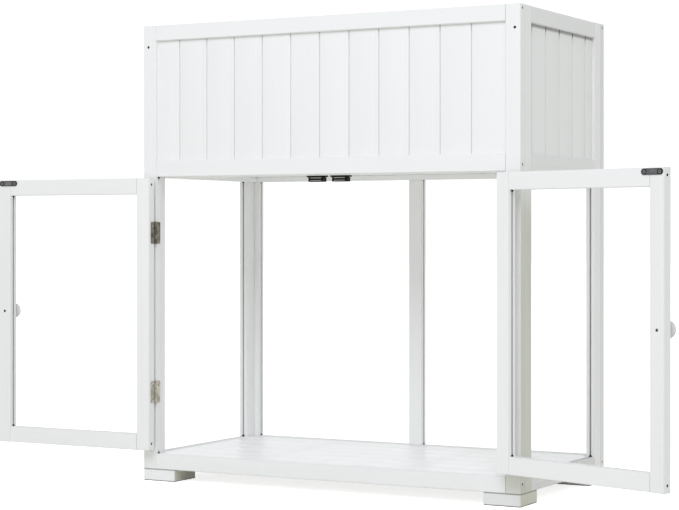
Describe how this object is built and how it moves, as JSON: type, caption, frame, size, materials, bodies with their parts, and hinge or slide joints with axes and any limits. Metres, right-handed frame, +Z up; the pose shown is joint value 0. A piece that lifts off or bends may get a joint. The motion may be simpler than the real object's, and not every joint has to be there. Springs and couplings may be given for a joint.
{
  "type": "mini greenhouse cabinet",
  "caption": "White wooden greenhouse cabinet with clear-glazed walls and two hinged glazed doors under an open boarded planting trough, on block feet.",
  "frame": {"origin": "on the ground, in the middle of the area that the greenhouse covers with its doors standing open as at rest", "axes": "+X to the right along the front, +Y from the doors to the back, +Z up"},
  "size_m": [1.642, 0.5946, 0.99],
  "materials": {
    "painted_wood": "satin white paint over planed softwood",
    "clear_sheet": "clear polished sheet",
    "aged_steel": "dulled nickel plate",
    "plate_steel": "dark zinc plate",
    "black_plastic": "matt black"
  },
  "bodies": {
    "cabinet": {"front_stile_left": "painted_wood", "front_stile_right": "painted_wood", "front_top_rail": "painted_wood", "front_mid_rail": "painted_wood", "front_base_rail": "painted_wood", "front_boards": "painted_wood", "rear_stile_left": "painted_wood", "rear_stile_right": "painted_wood", "rear_top_rail": "painted_wood", "rear_mid_rail": "painted_wood", "rear_base_rail": "painted_wood", "rear_mullion": "painted_wood", "rear_boards": "painted_wood", "rear_pane_left": "clear_sheet", "rear_pane_right": "clear_sheet", "left_side_front_stile": "painted_wood", "left_side_rear_stile": "painted_wood", "left_side_top_rail": "painted_wood", "left_side_mid_rail": "painted_wood", "left_side_base_rail": "painted_wood", "left_side_boards": "painted_wood", "left_side_pane": "clear_sheet", "right_side_front_stile": "painted_wood", "right_side_rear_stile": "painted_wood", "right_side_top_rail": "painted_wood", "right_side_mid_rail": "painted_wood", "right_side_base_rail": "painted_wood", "right_side_boards": "painted_wood", "right_side_pane": "clear_sheet", "planter_floor": "painted_wood", "base_floor": "painted_wood", "foot_front_left": "painted_wood", "foot_front_right": "painted_wood", "foot_rear_left": "painted_wood", "foot_rear_right": "painted_wood", "catch_left": "black_plastic", "catch_right": "black_plastic", "left_upper_hinge_post_leaf": "aged_steel", "left_lower_hinge_post_leaf": "aged_steel", "right_upper_hinge_post_leaf": "aged_steel", "right_lower_hinge_post_leaf": "aged_steel"},
    "left_door": {"left_door_hinge_stile": "painted_wood", "left_door_free_stile": "painted_wood", "left_door_top_rail": "painted_wood", "left_door_bottom_rail": "painted_wood", "left_door_pane": "clear_sheet", "left_door_knob": "painted_wood", "left_door_strike": "plate_steel", "left_upper_hinge_door_leaf": "aged_steel", "left_lower_hinge_door_leaf": "aged_steel"},
    "right_door": {"right_door_hinge_stile": "painted_wood", "right_door_free_stile": "painted_wood", "right_door_top_rail": "painted_wood", "right_door_bottom_rail": "painted_wood", "right_door_pane": "clear_sheet", "right_door_knob": "painted_wood", "right_door_strike": "plate_steel", "right_upper_hinge_door_leaf": "aged_steel", "right_lower_hinge_door_leaf": "aged_steel"}
  },
  "joints": [
    {"name": "left_door_hinge", "type": "hinge", "parent": "cabinet", "child": "left_door", "pos_m": [-0.40705, -0.1462, 0.363], "axis": [0, 0, 1], "range_deg": [0, 180]},
    {"name": "right_door_hinge", "type": "hinge", "parent": "cabinet", "child": "right_door", "pos_m": [0.42395, -0.1462, 0.363], "axis": [0, 0, -1], "range_deg": [-18, 162]}
  ]
}
